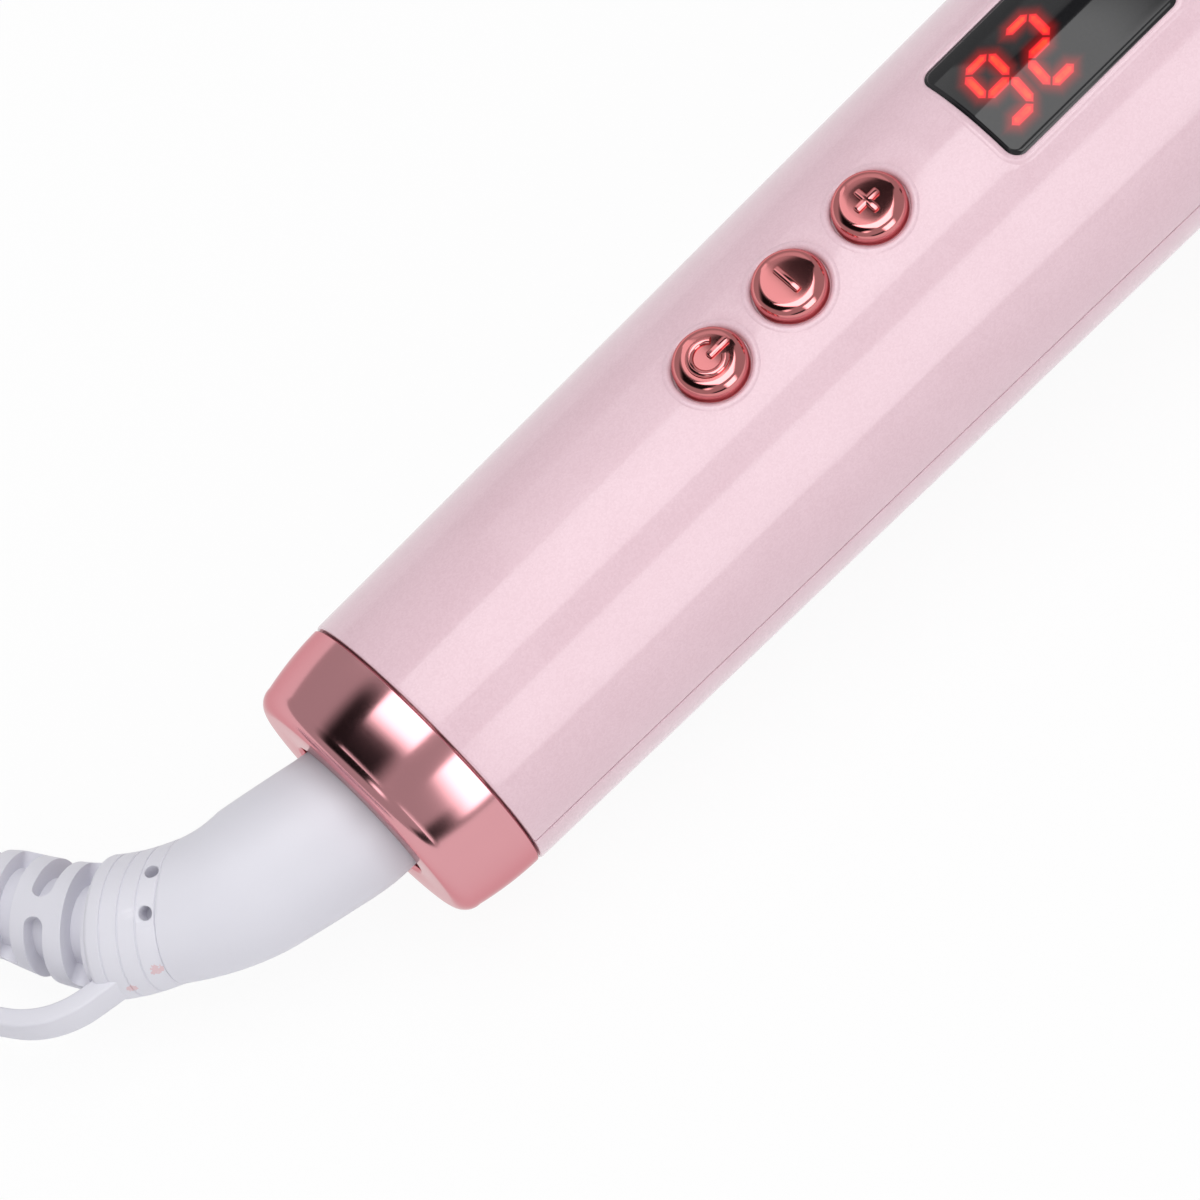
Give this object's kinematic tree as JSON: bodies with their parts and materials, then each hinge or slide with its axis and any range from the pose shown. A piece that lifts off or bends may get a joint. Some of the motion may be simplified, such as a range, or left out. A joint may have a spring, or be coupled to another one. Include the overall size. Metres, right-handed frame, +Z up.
{
  "type": "curling iron",
  "caption": "Hair curling iron with a heated barrel, sprung clamp, folding stand, display, press buttons and a swivelling coiled cord with plug.",
  "frame": {"origin": "on the floor under the middle of the iron, between the heel of the handle and the foot", "axes": "+X along the iron towards the cool tip, +Z up, display side up, the iron tipped 6 degrees"},
  "size_m": [0.5643, 0.0891, 0.0684],
  "materials": {
    "pearl_pink": "pearl gloss",
    "rose_chrome": "rose gold plating",
    "window_black": "gloss",
    "display_red": "satin",
    "white_vinyl": "satin",
    "white_nylon": "satin",
    "black_tie": "matt",
    "black_heatproof": "satin",
    "board_green": "satin",
    "barrel_coat": "satin ceramic coat",
    "heater_ceramic": "matt",
    "aluminium": "mill",
    "steel": "bright",
    "brass": "bright"
  },
  "bodies": {
    "handle": {"upper_shell": "pearl_pink", "lower_shell": "pearl_pink", "shell_screws": "steel", "end_cap": "rose_chrome", "swivel_bush": "white_nylon", "contact_holder": "white_nylon", "slip_contacts": "brass", "key_switches": "black_heatproof", "circuit_board": "board_green", "display_window": "window_black", "display_module": "display_red", "front_collar": "rose_chrome", "barrel_holder": "black_heatproof", "barrel": "barrel_coat", "heater_plate": "heater_ceramic", "upper_heat_spreader": "aluminium", "lower_heat_spreader": "aluminium", "temperature_sensor": "heater_ceramic", "cool_tip": "black_heatproof", "tip_bracket": "steel", "tip_screw": "steel", "clamp_saddle": "steel", "clamp_pin": "steel", "clamp_spring": "steel", "stand_pin": "steel", "cord_lead": "white_vinyl", "cord_coil": "white_vinyl", "cord_tail": "white_vinyl", "cord_tie": "black_tie", "plug_body": "white_vinyl", "plug_pins": "brass"},
    "swivel": {"swivel_stem": "white_vinyl", "slip_rings": "brass", "strain_relief": "white_vinyl"},
    "clamp": {"clamp_plate": "barrel_coat", "thumb_lever": "black_heatproof", "lever_screws": "steel"},
    "stand": {"stand": "steel"},
    "power_key": {"power_button": "rose_chrome", "power_plunger": "white_nylon"},
    "minus_key": {"minus_button": "rose_chrome", "minus_plunger": "white_nylon"},
    "plus_key": {"plus_button": "rose_chrome", "plus_plunger": "white_nylon"}
  },
  "joints": [
    {"name": "cord_swivel", "type": "hinge", "parent": "handle", "child": "swivel", "pos_m": [-0.16013, 0, 0.01691], "axis": [0.9945, 0, 0.1045], "continuous": true, "deforming": ["cord_lead"]},
    {"name": "clamp_hinge", "type": "hinge", "parent": "handle", "child": "clamp", "pos_m": [0.02691, 0, 0.05497], "axis": [0, -1, 0], "range_deg": [0, 20], "stiffness_Nm_per_rad": 0.25, "springref_deg": -22.92, "deforming": ["clamp_spring"]},
    {"name": "stand_hinge", "type": "hinge", "parent": "handle", "child": "stand", "pos_m": [0.00702, 0, 0.01467], "axis": [0, -1, 0], "range_deg": [0, 95]},
    {"name": "power_press", "type": "slide", "parent": "handle", "child": "power_key", "axis": [0.1045, 0, -0.9945], "range_m": [0, 0.0006], "stiffness_N_per_m": 800, "springref_m": -0.0004},
    {"name": "minus_press", "type": "slide", "parent": "handle", "child": "minus_key", "axis": [0.1045, 0, -0.9945], "range_m": [0, 0.0006], "stiffness_N_per_m": 800, "springref_m": -0.0004},
    {"name": "plus_press", "type": "slide", "parent": "handle", "child": "plus_key", "axis": [0.1045, 0, -0.9945], "range_m": [0, 0.0006], "stiffness_N_per_m": 800, "springref_m": -0.0004}
  ]
}
